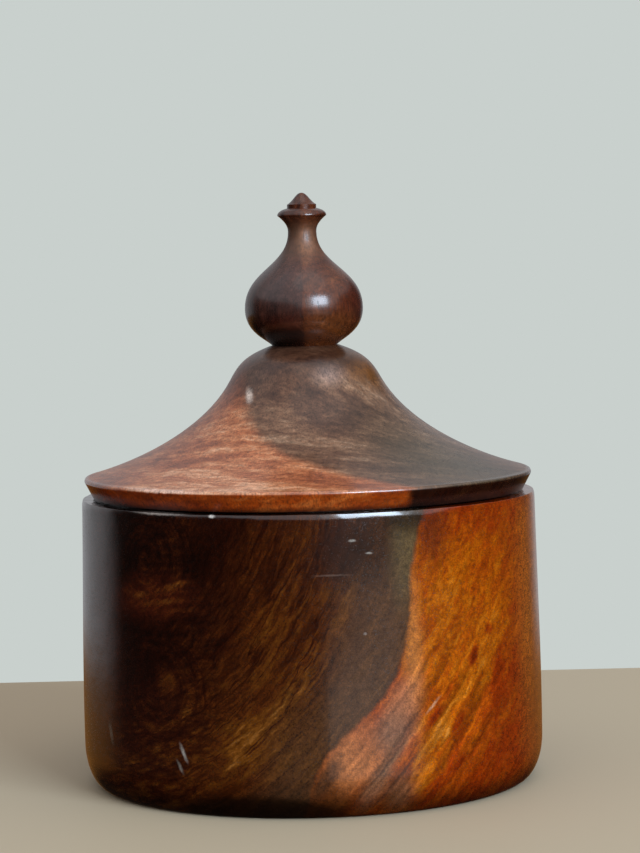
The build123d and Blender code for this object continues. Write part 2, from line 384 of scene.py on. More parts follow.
# %% [markdown]
# ## The finish
# Oil darkens the wood and wax fills most of its pores. The wood below is satin, with a roughness of
# about 0.15 to 0.3, and the thin film of wax on it is clearer and mirrors a window with a fairly
# crisp edge. What keeps it from looking like plastic is small: pores that lie open along the
# fibre, faint rings left by the tool, a roughness that wanders where hands have rubbed it, and soft
# dents.
# Real pores are 0.1 to 0.2 mm wide, too fine to show here, so they are drawn at 0.35 mm. Between
# them the colour is mottled, in specks of the same size and in clouds of 1.4 mm.

# %% Pores and mottling
PORE_WIDTH, MOTTLE_WIDTH = 0.35, 1.4  # mm


def with_pores(tree, place, colour, fibre):
    """The colour with pores and mottling, and where pores lie open. Fibre is the stretch in x, y and z."""
    drawn = add(tree, "ShaderNodeMapping", {
        "Vector": place, "Scale": [1 / (PORE_WIDTH * f) for f in fibre]}, vector_type="POINT")
    pores = add(tree, "ShaderNodeTexNoise", {"Vector": drawn, "Scale": 1.0, "Detail": 1.0}).outputs["Fac"]
    open_pores = add(tree, "ShaderNodeMapRange", {
        "Value": pores, "From Min": 0.60, "From Max": 0.72, "To Min": 0.0, "To Max": 1.0}).outputs["Result"]
    specks = add(tree, "ShaderNodeMapRange", {
        "Value": pores, "From Min": 0.3, "From Max": 0.7, "To Min": 1.26, "To Max": 0.74}).outputs["Result"]
    mottle = add(tree, "ShaderNodeTexNoise", {
        "Vector": place, "Scale": 1 / MOTTLE_WIDTH, "Detail": 3.0, "Roughness": 0.7}).outputs["Fac"]
    clouds = add(tree, "ShaderNodeMapRange", {
        "Value": mottle, "From Min": 0.3, "From Max": 0.7, "To Min": 0.68, "To Max": 1.32}).outputs["Result"]
    both = add(tree, "ShaderNodeMath", {0: specks, 1: clouds}, operation="MULTIPLY")
    mottled = add(tree, "ShaderNodeVectorMath", {0: colour, "Scale": both}, operation="SCALE")
    darkened = add(tree, "ShaderNodeMix", {
        "Factor": add(tree, "ShaderNodeMath", {0: open_pores, 1: 0.3}, operation="MULTIPLY"),
        "A": mottled, "B": linear("#1c0d07")}, data_type="RGBA")
    return darkened, open_pores


# %% [markdown]
# The tool moved on by about 0.8 mm with each turn and left a ring, and sanding took most of the
# rings away again. They are a sine of the path that each point of the mesh remembers, fainter where
# a noise says so. Bump is enough for them, because they are only a thousandth of a millimetre deep.

# %% Tool marks and dents
TOOL_FEED, SANDED_PATCH, DENT_WIDTH = 0.8, 9, 7  # mm
RING_DEPTH, DENT_DEPTH, PORE_DEPTH = 0.0012, 0.10, 0.008  # mm


def tool_marks(tree, place, open_pores):
    """The bumps of the tool's rings, soft dents and open pores."""
    path = add(tree, "ShaderNodeAttribute", attribute_name="tool_path", attribute_type="GEOMETRY")
    feed = add(tree, "ShaderNodeMath", {
        0: path.outputs["Fac"], 1: 1000 / TOOL_FEED * 2 * pi}, operation="MULTIPLY")
    wave = add(tree, "ShaderNodeMath", {0: feed}, operation="SINE")
    left = add(tree, "ShaderNodeTexNoise", {
        "Vector": place, "Scale": 1 / SANDED_PATCH, "Detail": 2.0}).outputs["Fac"]
    marks = add(tree, "ShaderNodeMath", {0: wave, 1: left}, operation="MULTIPLY")
    dents = add(tree, "ShaderNodeTexNoise", {
        "Vector": place, "Scale": 1 / DENT_WIDTH, "Detail": 2.0}).outputs["Fac"]
    dented = add(tree, "ShaderNodeMath", {0: dents, 1: DENT_DEPTH}, operation="MULTIPLY")
    ringed = add(tree, "ShaderNodeMath", {0: marks, 1: RING_DEPTH, 2: dented}, operation="MULTIPLY_ADD")
    sunk = add(tree, "ShaderNodeMath", {0: open_pores, 1: -PORE_DEPTH, 2: ringed}, operation="MULTIPLY_ADD")
    return add(tree, "ShaderNodeBump", {"Height": sunk, "Strength": 1.0, "Distance": 0.001})


# %% [markdown]
# The wax is the Principled shader's coat: a film with a roughness of its own over the satin wood.
# Where the wood was never waxed it has no film, and is paler, dusty and rough.

# %% The waxed finish
RUBBED_PATCH, DRY_ROUGHNESS = 22, 0.62  # mm, and the roughness of bare wood


def waxed(tree, place, colour, fibre, wax, roughness, dull, film=0.08):
    """Finishes a tree. Wax is how much, film is its roughness, and dull marks what was not waxed."""
    colour, open_pores = with_pores(tree, place, colour, fibre)
    dusty = add(tree, "ShaderNodeMix", {
        "Factor": add(tree, "ShaderNodeMath", {0: dull, 1: 0.3}, operation="MULTIPLY"),
        "A": colour, "B": linear("#8a6a50")}, data_type="RGBA")

    rubbed = add(tree, "ShaderNodeTexNoise", {
        "Vector": place, "Scale": 1 / RUBBED_PATCH, "Detail": 3.0}).outputs["Fac"]
    satin = add(tree, "ShaderNodeMapRange", {
        "Value": rubbed, "From Min": 0.3, "From Max": 0.7,
        "To Min": roughness - 0.03, "To Max": roughness + 0.05})
    in_pores = add(tree, "ShaderNodeMath", {0: open_pores, 1: 0.12}, operation="MULTIPLY")
    rough = add(tree, "ShaderNodeMath", {0: satin, 1: in_pores}, operation="ADD")
    rough = add(tree, "ShaderNodeMix", {"Factor": dull, "A": rough, "B": DRY_ROUGHNESS}, data_type="FLOAT")
    waxy = add(tree, "ShaderNodeMath", {0: 1.0, 1: dull}, operation="SUBTRACT")
    coat = add(tree, "ShaderNodeMath", {0: waxy, 1: wax}, operation="MULTIPLY")
    shader = add(tree, "ShaderNodeBsdfPrincipled", {
        "Base Color": dusty, "Roughness": rough, "IOR": 1.45, "Coat Weight": coat, "Coat Roughness": film,
        "Normal": tool_marks(tree, place, open_pores)})
    add(tree, "ShaderNodeOutputMaterial", {"Surface": shader})


def new_material(name):
    """An empty material and its tree."""
    material = bpy.data.materials.new(name)
    material.use_nodes = True
    material.node_tree.nodes.clear()
    return material, material.node_tree


# %% [markdown]
# ## The wood of the box
# The block lay with its fibre from front to back, and the pith was outside it, up and to the left.
# So the front shows the rings as wide arcs, rising to the right, and the two flanks show them as
# long level lines. Inside a radius of 118 to 150 mm all is dark heartwood, nearly black at the left
# and golden brown further out. Outside it the wood is orange.
# A sharp border between the two woods follows no single ring. It is drawn as a curve, which gives
# the heartwood's outer radius for each direction from the pith.

# %% Box: where heartwood ends
BOX_PITH, BOX_TILT = (-88, -50, 100), (5, 0, -6.8)
# The direction from the pith, as a turn from straight down in degrees, and the radius there in mm.
HEART_EDGE = [(0, 150), (36, 136), (42, 129.8), (44.7, 125.9), (48.5, 124.3), (53.1, 125.6), (56.9, 126.8),
              (61.4, 125.4), (66.3, 122), (71.8, 118.7), (77.3, 118.7), (90, 118.4)]
EDGE_BASE, EDGE_SPAN = 110.0, 40.0  # mm: a curve node only holds values from 0 to 1

box_wood, tree = new_material("waxed_cocobolo_box")
place = millimetres(tree)
loose = warp(tree, warp(tree, place, 28, 1.2), 4, 0.9)  # the fibres wander, widely and finely
rings = find_rings(tree, loose, BOX_PITH, BOX_TILT, 100)
round_pith, out, _ = rings
across, _, up = add(tree, "ShaderNodeSeparateXYZ", {0: round_pith}).outputs
down = add(tree, "ShaderNodeMath", {0: up, 1: -1.0}, operation="MULTIPLY")
turn = add(tree, "ShaderNodeMath", {0: across, 1: down}, operation="ARCTAN2")
quarter = add(tree, "ShaderNodeMath", {0: turn, 1: 2 / pi}, operation="MULTIPLY", use_clamp=True)
edge = add(tree, "ShaderNodeFloatCurve", {"Value": quarter}, points=[
    (a / 90, (r - EDGE_BASE) / EDGE_SPAN) for a, r in HEART_EDGE])
edge_out = add(tree, "ShaderNodeMath", {0: edge, 1: EDGE_SPAN, 2: EDGE_BASE}, operation="MULTIPLY_ADD")
beyond = add(tree, "ShaderNodeMath", {0: out, 1: edge_out}, operation="SUBTRACT")
is_outer = add(tree, "ShaderNodeMapRange", {
    "Value": beyond, "From Min": -0.7, "From Max": 0.7, "To Min": 0.0, "To Max": 1.0,
}, interpolation_type="SMOOTHSTEP")
print("outer radius of the heartwood, mm:", [radius for _, radius in HEART_EDGE])

# %% [markdown]
# The heartwood has one ramp, from black through red brown to gold, and a tone that says where on it
# each point is. The tone first rises away from the pith, and then soft patches of tone lay out the
# large light and dark areas. Each row of the table is a tone or a colour, and then the patch's
# centre, radii, turn, strength and softness of edge. The other tables here have the same order.

# %% Box: the heartwood's tones
HEART_TONES = [
    (0.20, (-46, -40, 44), (15, 60, 34), (0, 0, 0), 0.9, 0.35),  # nearly black
    (0.27, (-31, -50, 70), (12, 40, 10), (0, 0, 0), 0.8, 0.6),
    (0.48, (-17, -57, 66), (3, 40, 9), (0, 25, 0), 0.7, 0.6),  # lighter, by the rim
    (0.52, (-42, -44, 15), (16, 40, 12), (0, 0, 0), 0.9, 0.6),  # red brown by the foot
    (0.46, (-6, -58, 5), (24, 30, 5), (0, 0, 0), 0.8, 0.8),
    (0.46, (11, -58, 67), (11, 30, 8), (0, 0, 0), 0.8, 0.8),
    (0.60, (-40, -45, 53.5), (8.5, 16, 4.4), (0, -4, 0), 0.85, 0.6),  # a red patch
    (0.32, (-24, -54, 49), (4, 20, 10), (0, 25, 0), 0.5, 0.8),
    (0.84, (-17, -57, 18), (6, 12, 4.5), (0, 40, 0), 0.45, 0.8),
    (0.30, (-36, -48, 62), (9, 30, 1.4), (0, -8, 0), 0.5, 0.8),
]
HEART_RAMP = [(0, "#050100"), (0.2, "#150300"), (0.33, "#210701"), (0.45, "#2e0f02"), (0.6, "#401b04"),
              (0.72, "#4e2706"), (0.85, "#60340b"), (1, "#7c4c1c")]
tone = add(tree, "ShaderNodeMapRange", {
    "Value": out, "From Min": 55.0, "From Max": 112.0, "To Min": 0.2, "To Max": 0.70}).outputs["Result"]
tone = patches(tree, loose, tone, HEART_TONES)
print(len(HEART_TONES), "patches of tone")

# %% [markdown]
# By the left flank the figure lies level and cloudy, as it does beside a branch, and two small
# knots there have rings of their own. Each is figure of another kind, blended in over a patch: the
# clouds are noise drawn out level, and a knot is the same streaks read round a pith of its own. Wisps
# of paler wood run between the knots, and the lower one has a dark eye.

# %% Box: the cloudy flank and its knots
KNOTS = [((-41, -44, 63), 16), ((-38.5, -45, 31), 13)]  # each knot's middle and reach
KNOT_TONES = [
    (0.90, (-35, -48, 56), (6, 9, 0.9), (0, -18, 0), 0.9, 0.7),  # wisps between the knots
    (0.84, (-38, -46, 52.5), (7, 9, 0.8), (0, -6, 0), 0.9, 0.7),
    (0.74, (-44, -40, 54.5), (3.5, 9, 0.7), (0, 12, 0), 0.9, 0.7),
    (0.70, (-34, -49, 50.6), (5, 9, 0.6), (0, -5, 0), 0.5, 0.7),
    (0.08, (-40.5, -45, 36), (1.7, 8, 4.2), (0, 8, 0), 0.9, 0.6),  # the lower knot's dark eye
    (0.66, (-35.5, -48, 33.5), (2.6, 8, 3.2), (0, 25, 0), 0.8, 0.7),
    (0.54, (-34, -49, 28), (2.6, 8, 1.2), (0, -20, 0), 0.7, 0.7),
]
lying = add(tree, "ShaderNodeMapping", {
    "Vector": loose, "Rotation": (0, radians(-8), 0), "Scale": (5, 20, 1.5)}, vector_type="TEXTURE")
cloudy = add(tree, "ShaderNodeTexNoise", {
    "Vector": lying, "Scale": 1.0, "Detail": 4.0, "Roughness": 0.65}).outputs["Fac"]
by_flank = patches(tree, loose, 0.0, [(1.0, (-46, -40, 38), (21, 90, 70), (0, 0, 0), 1.0, 0.4)])
tone = add(tree, "ShaderNodeMix", {
    "Factor": by_flank, "A": tone, "B": swing(tree, tone, cloudy, 2.6)}, data_type="FLOAT")
for middle, reach in KNOTS:
    own_rings = find_rings(tree, loose, middle, (0, 0, -40), 6)
    grown = swing(tree, tone, streaks(tree, own_rings, 1.3, 9, 30, 4.0), 3.2)
    by_knot = patches(tree, loose, 0.0, [(1.0, middle, (reach, 60, reach), (0, 0, 0), 1.0, 0.5)])
    tone = add(tree, "ShaderNodeMix", {"Factor": by_knot, "A": tone, "B": grown}, data_type="FLOAT")
tone = patches(tree, loose, tone, KNOT_TONES)
print(len(KNOTS), "knots")

# %% [markdown]
# Three layers of streaks, 7, 1.8 and 0.7 mm wide, swing the tone, so every border between dark and
# light is ragged. Thin dark veins follow the rings. Then the tone is turned into a colour. Towards the
# border the heartwood turns olive brown, and a few patches tint it.

# %% Box: the heartwood's streaks and colour
HEART_TINTS = [
    ("#605234", (23, -55, 66), (3.4, 20, 13), (0, 2, 0), 0.6, 0.7),  # olive
    ("#4a3425", (14, -58, 42), (8, 20, 24), (0, 12, 0), 0.5, 0.7),  # a grey brown veil
    ("#24120a", (11, -58, 65), (9, 20, 8), (0, 0, 0), 0.65, 0.8),  # darker by the rim
    ("#1a0e08", (24, -54, 73), (7, 20, 3.4), (0, 0, 0), 0.8, 0.8),
    ("#441609", (-40, -45, 53.5), (11, 16, 5), (0, -4, 0), 0.5, 0.7),  # reds
    ("#2c0c04", (-42, -44, 20), (14, 40, 17), (0, 0, 0), 0.45, 0.8),
    ("#3c1606", (-53, -28, 36), (5, 14, 36), (0, 0, 0), 0.5, 0.8),
]
for noise, by in [
    (streaks(tree, rings, 7, 40, 90), 1.0),
    (streaks(tree, rings, 1.8, 12, 60, 4.0), 1.15),
    (streaks(tree, rings, 0.7, 4, 40), 1.1),
]:
    tone = swing(tree, tone, noise, by)
dark_veins = veins(tree, streaks(tree, rings, 5, 60, 90), 0.018, 0.3)
tone = add(tree, "ShaderNodeMath", {0: tone, 1: dark_veins}, operation="MULTIPLY")
heart = add(tree, "ShaderNodeValToRGB", {"Fac": tone}, stops=[(t, linear(c)) for t, c in HEART_RAMP])
olive = add(tree, "ShaderNodeMapRange", {
    "Value": beyond, "From Min": -22.0, "From Max": -5.0, "To Min": 0.0, "To Max": 0.62,
}, interpolation_type="SMOOTHSTEP")
heart = add(tree, "ShaderNodeMix", {"Factor": olive, "A": heart, "B": linear("#412b1a")}, data_type="RGBA")
heart = patches(tree, loose, heart, HEART_TINTS)
heart = add(tree, "ShaderNodeVectorMath", {
    0: heart, "Scale": swing(tree, 1.0, streaks(tree, rings, 1.1, 6, 40, 4.0), 0.8)}, operation="SCALE")
print("heartwood:", len(tree.nodes), "nodes")

# %% [markdown]
# The outer wood is made in the same way: one ramp again, from dark red brown to tan, patches of
# tone, streaks, and patches of other colours on top. Low on the front the two woods mingle in
# tongues and healed splits.

# %% Box: the outer wood
OUTER_TONES = [
    (0.70, (36, -48, 44), (11, 40, 20), (0, 0, 0), 0.9, 0.6),  # brightest orange
    (0.53, (44, -30, 77), (34, 70, 7), (0, 0, 0), 0.85, 0.9),  # redder by the rim
    (0.565, (53, -30, 15), (11.5, 40, 22), (0, 0, 0), 0.95, 0.25),  # dark red brown
    (0.56, (36, -45, 5), (14, 30, 7), (0, 0, 0), 0.8, 0.6),
    (0.80, (41, -45, 33), (0.9, 9, 4), (0, 40, 0), 0.8, 0.7),  # tan streaks
    (0.80, (37, -48, 28.5), (1.0, 9, 4.5), (0, 44, 0), 0.8, 0.7),
    (0.78, (33, -50, 24), (0.9, 9, 5), (0, 45, 0), 0.8, 0.7),
    (0.86, (30.2, -51, 18.5), (1.4, 9, 6), (0, 45, 0), 0.8, 0.7),
    (0.76, (28.5, -52, 24), (0.8, 9, 5), (0, 48, 0), 0.7, 0.7),
    (0.82, (26.5, -53, 11), (2.4, 9, 6), (0, 14, 0), 0.9, 0.7),
    (0.52, (34.5, -49, 13), (1.2, 9, 7), (0, 20, 0), 0.6, 0.7),  # and red ones between
    (0.76, (31, -51, 20), (5, 20, 8), (0, 40, 0), 0.5, 0.8),
    (0.78, (40, -46, 34), (4, 20, 5), (0, 40, 0), 0.6, 0.8),
    (0.43, (40, -44, 37.5), (1.0, 4, 2.4), (0, 20, 0), 0.9, 0.8),  # dark flecks
    (0.50, (44.5, -41, 43.5), (1.3, 4, 1.4), (0, 0, 0), 0.8, 0.6),
    (0.49, (29.6, -51, 23.5), (1.0, 4, 3.2), (0, 40, 0), 0.8, 0.8),
    (0.50, (35.5, -48, 22), (0.9, 4, 3.0), (0, 35, 0), 0.7, 0.6),
    (0.52, (52, -30, 31), (2.4, 6, 2.0), (0, -30, 0), 0.8, 0.6),
    (0.50, (46.5, -37, 31), (1.5, 8, 6), (0, 8, 0), 0.8, 0.6),
]
OUTER_RAMP = [(0.2, "#2c0a01"), (0.45, "#5c1c01"), (0.55, "#742401"), (0.6, "#7e3002"), (0.66, "#883a02"),
              (0.72, "#924602"), (0.8, "#a0570c"), (0.9, "#b06e28"), (1, "#c4884c")]
OUTER_SPOTS = [
    ("#96581a", (58, -14, 46), (5, 30, 42), (0, 0, 0), 0.6, 0.8),  # ochre towards the right flank
    ("#521c08", (30.3, -52, 70), (3.4, 20, 8), (0, 4, 0), 0.8, 0.8),  # red brown by the rim
    ("#b07034", (24.5, -54, 42), (2.2, 20, 16), (0, -3, 0), 0.55, 0.9),  # a paler fringe
    ("#9c5c32", (9.5, -59, 14.5), (6.5, 12, 9.5), (0, 34, 0), 0.9, 0.5),  # salmon patch
    ("#7c4022", (14, -58, 21), (4, 12, 5), (0, 35, 0), 0.6, 0.8),
    ("#664633", (20, -56, 21.5), (4.4, 12, 6.5), (0, 25, 0), 0.85, 0.6),
    ("#8a5638", (22, -55, 29), (3.4, 12, 5), (0, 30, 0), 0.7, 0.8),  # grey brown tongues
    ("#60422e", (15.5, -58, 9), (2.2, 12, 9), (0, 30, 0), 0.8, 0.7),
    ("#5e3e28", (20.5, -57, 6), (4.0, 12, 5), (0, 20, 0), 0.8, 0.7),
    ("#4a2c1c", (17, -57, 12), (0.45, 9, 10), (0, 41, 0), 0.8, 0.6),  # healed splits
    ("#4a2c1c", (20.5, -57, 9.5), (0.4, 9, 8), (0, 42, 0), 0.6, 0.6),
    ("#8a5c3e", (18.0, -57, 12.5), (0.4, 9, 9), (0, 41, 0), 0.45, 0.8),
    ("#4c260e", (2.5, -59, 4.5), (7, 12, 7), (0, 30, 0), 0.85, 0.6),  # brown by the foot
    ("#3e2616", (3.0, -59, 10.5), (2.2, 12, 6), (0, 34, 0), 0.75, 0.6),
]
tone = patches(tree, loose, 0.64, OUTER_TONES)
for noise, by in [
    (streaks(tree, rings, 9, 22, 50), 0.35),
    (streaks(tree, rings, 2.2, 6, 30, 4.0), 0.5),
    (streaks(tree, rings, 0.9, 2.2, 20), 0.45),
]:
    tone = swing(tree, tone, noise, by)
outer = add(tree, "ShaderNodeValToRGB", {"Fac": tone}, stops=[(t, linear(c)) for t, c in OUTER_RAMP])
outer = patches(tree, loose, outer, OUTER_SPOTS)
print(len(OUTER_TONES) + len(OUTER_SPOTS), "patches in the outer wood")

# %% [markdown]
# A last layer of fine grain is laid over the outer wood as light and dark. Where the two woods
# mingle, low on the right, the rings stand out as long strokes.

# %% Box: grain of the outer wood, and the two woods together
grain = swing(tree, 1.0, streaks(tree, rings, 1.4, 5, 30, 4.0), 0.5)
mingled = patches(tree, loose, 0.0, [(1.0, (25, -52, 20), (23, 40, 23), (0, 0, 0), 1.0, 0.4)])
strokes = swing(tree, grain, streaks(tree, rings, 1.5, 16, 30, 1.0), 2.0)
grain = add(tree, "ShaderNodeMix", {"Factor": mingled, "A": grain, "B": strokes}, data_type="FLOAT")
outer = add(tree, "ShaderNodeVectorMath", {0: outer, "Scale": grain}, operation="SCALE")
colour = add(tree, "ShaderNodeMix", {"Factor": is_outer, "A": heart, "B": outer}, data_type="RGBA")
print("both woods:", len(tree.nodes), "nodes")

# %% [markdown]
# Use has left small pale nicks and scratches, and grime round the foot. Light is painted here too: a
# pale painted highlight along the rim's left edge, and a painted shadow in a dark band along the front
# of the foot. These lie on the surface and not in the block, but they are drawn as patches too, placed
# just where the surface is. The lid has polished the rim, so the film of wax is thickest there.
# The bore and most of the underside were sanded, but never waxed.

# %% Box: nicks, grime, painted light and wax
NICKS_AND_PAINTED_LIGHT = [
    ("#a09a92", (-32, -51, 16), (0.34, 3, 1.8), (0, -20, 0), 0.7, 0.9),  # two nicks on the left
    ("#7e7870", (-33, -50, 12.5), (0.32, 3, 1.4), (0, -25, 0), 0.6, 0.9),
    ("#0c0502", (-14, -56, 1.0), (21, 16, 5.0), (0, 0, 0), 0.75, 0.2),  # painted shadow: a dark band at the foot, where it meets the floor
    ("#5c5650", (-51, -31, 18), (0.4, 3, 2.4), (0, -8, 0), 0.6, 0.6),
    ("#8e8880", (10.3, -58, 68.2), (0.7, 3, 0.28), (0, 0, 0), 0.7, 0.6),  # dots and a hairline
    ("#8e8880", (14.3, -57, 65), (0.7, 3, 0.25), (0, 0, 0), 0.7, 0.6),
    ("#6d5a50", (5, -59, 60), (3.6, 3, 0.2), (0, 0, 0), 0.4, 0.8),
    ("#7a7068", (13, -57, 45.5), (0.4, 3, 0.3), (0, 0, 0), 0.6, 0.6),
    ("#8c8078", (-37, -46, 74.7), (6, 8, 0.35), (0, 0, 0), 0.7, 0.6),  # a painted highlight along the rim
    ("#c8c0b8", (-23.6, -53.9, 74.5), (0.7, 3, 0.4), (0, 0, 0), 0.8, 0.6),
    ("#b08a68", (29.3, -51.5, 26.6), (0.3, 3, 2.2), (0, 42, 0), 0.6, 0.8),
]
BORE_COLUMN = (1.0, (0, 0, 0), (51.6, 51.6, 99999), (0, 0, 0), 1.0, 0.004)  # also through the underside

colour = patches(tree, warp(tree, place, 1.2, 0.3), colour, NICKS_AND_PAINTED_LIGHT)
loose_z = add(tree, "ShaderNodeSeparateXYZ", {0: loose}).outputs["Z"]
# Darker towards the foot: grime, and painted shade where the box meets the floor.
grime_and_painted_shade = add(tree, "ShaderNodeMapRange", {
    "Value": loose_z, "From Min": 2.0, "From Max": 8.0, "To Min": 0.35, "To Max": 1.0,
}, interpolation_type="SMOOTHSTEP").outputs["Result"]
colour = add(tree, "ShaderNodeVectorMath", {0: colour, "Scale": grime_and_painted_shade}, operation="SCALE")
never_waxed = patches(tree, place, 0.0, [BORE_COLUMN])
rim_wax = add(tree, "ShaderNodeMapRange", {
    "Value": loose_z, "From Min": 73.2, "From Max": 74.7, "To Min": 0.50, "To Max": 0.90,
}, interpolation_type="SMOOTHSTEP")
waxed(tree, place, colour, (1, 8, 1), rim_wax, 0.17, never_waxed)
print(box_wood.name, len(tree.nodes), "nodes")

# %% [markdown]
# ## The box
# One block, bored out: a swelling side on a rounded foot, a flat ring to stand on, and a rebate in
# the mouth that carries the lid. Its half section starts under the middle of the foot and runs
# round the outside, over the rim and down the bore.
# The rim's outer corner is where hands and the lid touch it most. So the side leans in over its
# last 1.5 mm, as far as a crest, and turns over in a tiny round to the flat top.

# %% Box
BODY_HEIGHT, BODY_RADIUS = 74.8, 60.0
RELIEF_RADIUS, RELIEF_DEPTH, RELIEF_CORNER = 42.7, 1.2, 0.8  # the hollow under the foot
FOOT_ROUND = (5.3, 11.3)  # a quarter of an oval, this wide and this high
RIM_LEAN, RIM_CREST = (59.07, BODY_HEIGHT - 1.5), (58.82, BODY_HEIGHT - 0.08)
RIM_OUTSIDE, RIM_INNER_ROUND = 58.71, 0.5
REBATE_RADIUS, REBATE_Z = 53.2, 69.8
BORE_RADIUS, FLOOR_Z, BORE_CORNER = 51.0, 9.2, 6.0

box_section = half_section("box_section", (0, RELIEF_DEPTH), [
    (RELIEF_RADIUS - RELIEF_CORNER, RELIEF_DEPTH),
    ((RELIEF_RADIUS, RELIEF_DEPTH - RELIEF_CORNER), 0, -90, round_pulls()),
    (RELIEF_RADIUS, 0),
    (BODY_RADIUS - FOOT_ROUND[0], 0),
    ((BODY_RADIUS, FOOT_ROUND[1]), 0, 90, round_pulls(90, *FOOT_ROUND)),
    (RIM_LEAN, 89.55, 90.8, (0.333, 0.333)),
    (RIM_CREST, 90.8, 109, (0.36, 0.30)),
    ((RIM_OUTSIDE, BODY_HEIGHT), 109, 180, round_pulls(71)),
    (REBATE_RADIUS + RIM_INNER_ROUND, BODY_HEIGHT),
    ((REBATE_RADIUS, BODY_HEIGHT - RIM_INNER_ROUND), 180, 270, round_pulls()),
    (REBATE_RADIUS, REBATE_Z),
    (BORE_RADIUS, REBATE_Z),
    (BORE_RADIUS, FLOOR_Z + BORE_CORNER),
    ((BORE_RADIUS - BORE_CORNER, FLOOR_Z), 270, 180, round_pulls()),
    (0, FLOOR_Z),
])
box_body = turn_piece("turned_box", box_section, box_wood, 360, BODY_HEIGHT, 4.0, 0.12, 3)
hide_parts("box_body")
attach(box_body, "box")

# %% [markdown]
# ## The wood of the lid
# The lid came from another part of the tree, with its fibre upright. Seen from above, a dark
# heartwood lies to the right and the front, and a dusty pink wood round it. The bevel under the lip
# is a third wood, orange brown. Each is made as the box's woods are, with a tone and a ramp.

# %% Lid: tones of its three woods
LID_OUTER_TONES = [
    (0.73, (-22, -35, 90), (10, 20, 90), (0, 0, 0), 0.95, 0.8),  # tan
    (0.56, (-32, -27, 90), (7, 7, 90), (0, 0, 0), 0.8, 0.7),
    (0.42, (-37, -19, 90), (2.6, 2.2, 90), (0, 0, 30), 0.8, 0.6),  # a smudge
    (0.84, (-20, -49, 90), (22, 4.5, 90), (0, 0, -20), 0.8, 0.8),  # pale streaks
    (0.76, (-14, -37, 90), (9, 1.4, 90), (0, 0, -15), 0.7, 0.7),
    (0.88, (-27, -44, 80), (24, 8, 90), (0, 0, -30), 0.6, 0.8),
    (0.50, (-24, -33, 90), (8, 1.6, 90), (0, 0, -10), 0.6, 0.7),
    (0.42, (-51, -24, 81), (7, 16, 90), (0, 0, 0), 0.6, 0.8),
    (0.56, (-23.5, -24, 95), (8, 9, 5), (0, 0, 0), 0.8, 0.8),
    (0.44, (-14, -10, 107), (9, 12, 8), (0, 0, 0), 0.9, 0.6),  # darker shoulder
]
LID_OUTER_RAMP = [(0, "#1c0a06"), (0.3, "#5a2a18"), (0.5, "#80442a"), (0.65, "#9c5836"), (0.8, "#b06e48"),
                  (1, "#cc9470")]
LID_HEART_TONES = [
    (0.36, (5, -21, 101.5), (6.5, 7, 2.4), (0, 0, 0), 0.8, 0.8),  # dark lens
    (0.34, (3, -42, 90), (9, 0.9, 90), (0, 0, -4), 0.7, 0.7),  # dark lines
    (0.76, (18, -27, 90), (8, 2.0, 90), (0, 0, 22), 0.7, 0.7),
    (0.34, (33, -34, 90), (10, 1.2, 90), (0, 0, 28), 0.6, 0.7),
    (0.74, (29, -28, 90), (4.5, 1.0, 90), (0, 0, 25), 0.7, 0.6),  # pale marks
    (0.62, (10, -34, 90), (12, 2.5, 90), (0, 0, 12), 0.6, 0.8),
    (0.44, (7, -25, 97), (7, 9, 4), (0, 0, 0), 0.6, 0.8),
    (0.36, (46, -28, 90), (10, 16, 90), (0, 0, 0), 0.8, 0.8),  # darker towards the right
    (0.48, (30, -38, 90), (12, 12, 90), (0, 0, 0), 0.7, 0.8),
    (0.84, (14, -17, 103), (8, 12, 4), (0, 0, 0), 0.8, 0.8),
    (0.44, (-2, -14, 108), (9, 9, 5), (0, 0, 0), 0.7, 0.8),
    (0.36, (0, 0, 114), (15, 15, 6), (0, 0, 0), 0.85, 0.8),  # and by the finial
]
LID_HEART_RAMP = [(0, "#120805"), (0.3, "#341c12"), (0.5, "#523424"), (0.7, "#704e38"), (1, "#9c7a60")]
BEVEL_TONES = [(0.46, (-40, -40, 77), (24, 60, 99), (0, 0, 0), 0.9, 0.5)]
BEVEL_RAMP = [(0, "#2a0900"), (0.45, "#702400"), (0.7, "#8a3604"), (1, "#ae5c24")]
LID_WOODS = [
    (0.64, LID_OUTER_TONES, LID_OUTER_RAMP),
    (0.60, LID_HEART_TONES, LID_HEART_RAMP),
    (0.74, BEVEL_TONES, BEVEL_RAMP),
]
print([len(tones) for _, tones, _ in LID_WOODS], "patches of tone")

# %% [markdown]
# All three woods share the same streaks, 6, 2.2 and 0.8 mm wide, so the figure runs on across their
# borders. The heartwood is an oval column in the block, and fades into the pink wood over about 4 mm.

# %% Lid: the heartwood and the pink wood round it
LID_TINTS = [
    ("#623606", (15, -9, 108.5), (5.5, 11, 6), (0, 0, 0), 0.9, 0.7),  # ochre on the shoulder
    ("#3e3a28", (36, -31, 90), (19, 19, 90), (0, 0, 0), 0.6, 0.8),  # olive
]
lid_wood, tree = new_material("waxed_cocobolo_lid")
place = millimetres(tree)
loose = warp(tree, warp(tree, place, 24, 2.0), 5, 0.7)
rings = find_rings(tree, loose, (10, 20, 80), (-90, 0, 0), 45)
lid_streaks = [
    (streaks(tree, rings, 6, 30, 60), 1.2),
    (streaks(tree, rings, 2.2, 8, 40, 4.0), 1.35),
    (streaks(tree, rings, 0.8, 2.4, 30), 0.95),
]
lid_colours = []
for base, tones, ramp in LID_WOODS:
    tone = patches(tree, loose, base, tones)
    for noise, by in lid_streaks:
        tone = swing(tree, tone, noise, by)
    stops = [(t, linear(c)) for t, c in ramp]
    lid_colours.append(add(tree, "ShaderNodeValToRGB", {"Fac": tone}, stops=stops))
pink, brown, orange = lid_colours
tinted = patches(tree, loose, brown, LID_TINTS)
in_column = add(tree, "ShaderNodeMapping", {
    "Vector": loose, "Location": (30, -15, 80), "Scale": (46, 37, 400)}, vector_type="TEXTURE")
